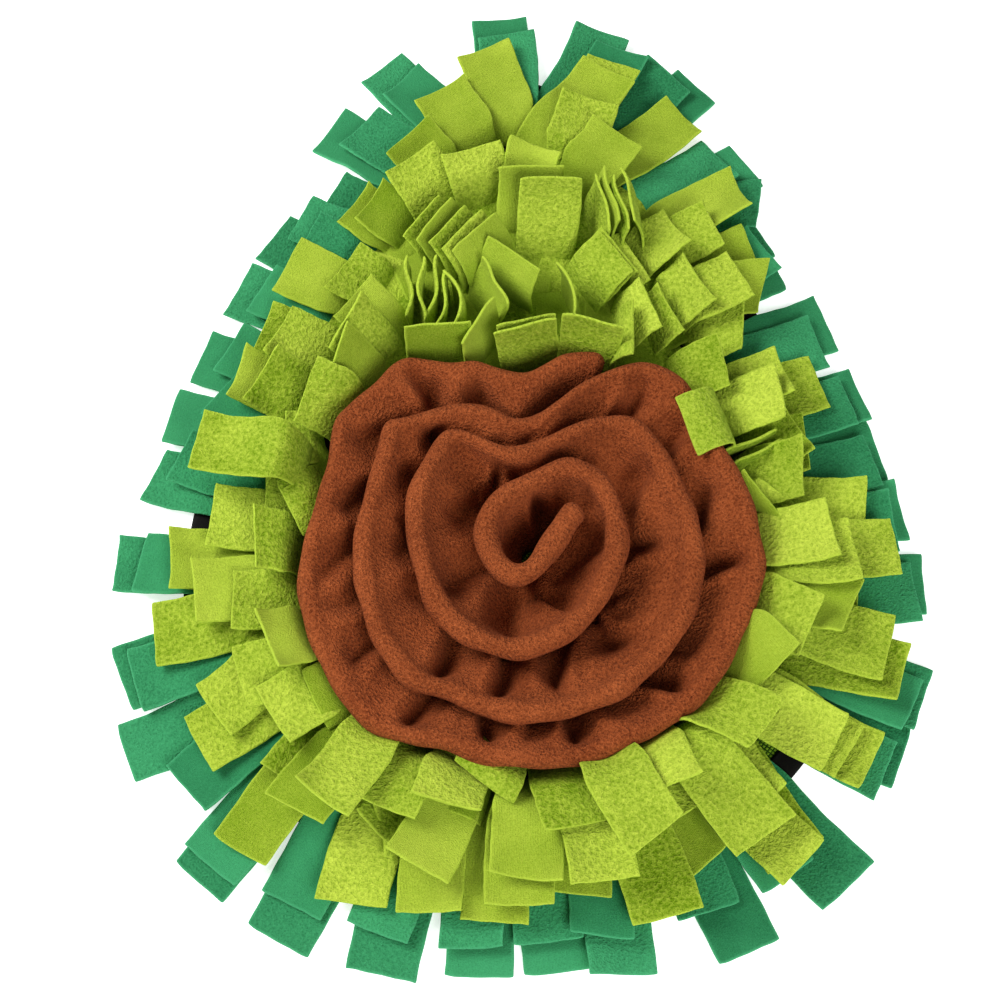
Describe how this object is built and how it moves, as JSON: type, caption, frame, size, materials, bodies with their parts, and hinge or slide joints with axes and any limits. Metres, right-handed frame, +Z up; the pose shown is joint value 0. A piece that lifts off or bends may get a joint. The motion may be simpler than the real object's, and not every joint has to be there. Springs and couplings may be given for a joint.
{
  "type": "snuffle mat",
  "caption": "Fruit-shaped pet snuffle mat: a woven base with a bound edge, rows of dark and light green fleece locks, and a wound brown fleece rose whose folds hide treats.",
  "frame": {"origin": "middle of the bounding box in plan, at the level of the mat's underside", "axes": "+Y towards the mat's narrow end, +Z up out of the mat's face, +X to the right seen from above with the narrow end away"},
  "size_m": [0.4042, 0.5328, 0.0582],
  "materials": {
    "dark_fleece": "matte",
    "light_fleece": "matte",
    "brown_fleece": "matte",
    "black_binding": "matte",
    "woven_panel": "matte"
  },
  "bodies": {
    "root": {"base_panel": "woven_panel", "binding": "black_binding", "fringe_crown_back": "light_fleece", "fringe_crown_front": "light_fleece", "fringe_crown_left_fan": "light_fleece", "fringe_crown_left_low": "light_fleece", "fringe_crown_left_plates": "light_fleece", "fringe_crown_middle": "light_fleece", "fringe_crown_right_high": "light_fleece", "fringe_crown_right_low": "light_fleece", "fringe_crown_right_plates": "light_fleece", "fringe_crown_right_rim": "light_fleece", "fringe_crown_top": "light_fleece", "fringe_dark_lower_1": "dark_fleece", "fringe_dark_lower_2": "dark_fleece", "fringe_dark_lower_3": "dark_fleece", "fringe_dark_lower_4": "dark_fleece", "fringe_dark_lower_5": "dark_fleece", "fringe_dark_lower_6": "dark_fleece", "fringe_dark_upper_1": "dark_fleece", "fringe_dark_upper_2": "dark_fleece", "fringe_dark_upper_3": "dark_fleece", "fringe_dark_upper_4": "dark_fleece", "fringe_dark_upper_5": "dark_fleece", "fringe_dark_upper_6": "dark_fleece", "fringe_light_inner_1": "light_fleece", "fringe_light_inner_2": "light_fleece", "fringe_light_inner_3": "light_fleece", "fringe_light_inner_4": "light_fleece", "fringe_light_inner_5": "light_fleece", "fringe_light_inner_6": "light_fleece", "fringe_light_middle_1": "light_fleece", "fringe_light_middle_2": "light_fleece", "fringe_light_middle_3": "light_fleece", "fringe_light_middle_4": "light_fleece", "fringe_light_middle_5": "light_fleece", "fringe_light_middle_6": "light_fleece", "fringe_light_outer_1": "light_fleece", "fringe_light_outer_2": "light_fleece", "fringe_light_outer_3": "light_fleece", "fringe_light_outer_4": "light_fleece", "fringe_light_outer_5": "light_fleece", "fringe_light_outer_6": "light_fleece", "fringe_rim_lock": "light_fleece", "rose": "brown_fleece"}
  },
  "joints": []
}
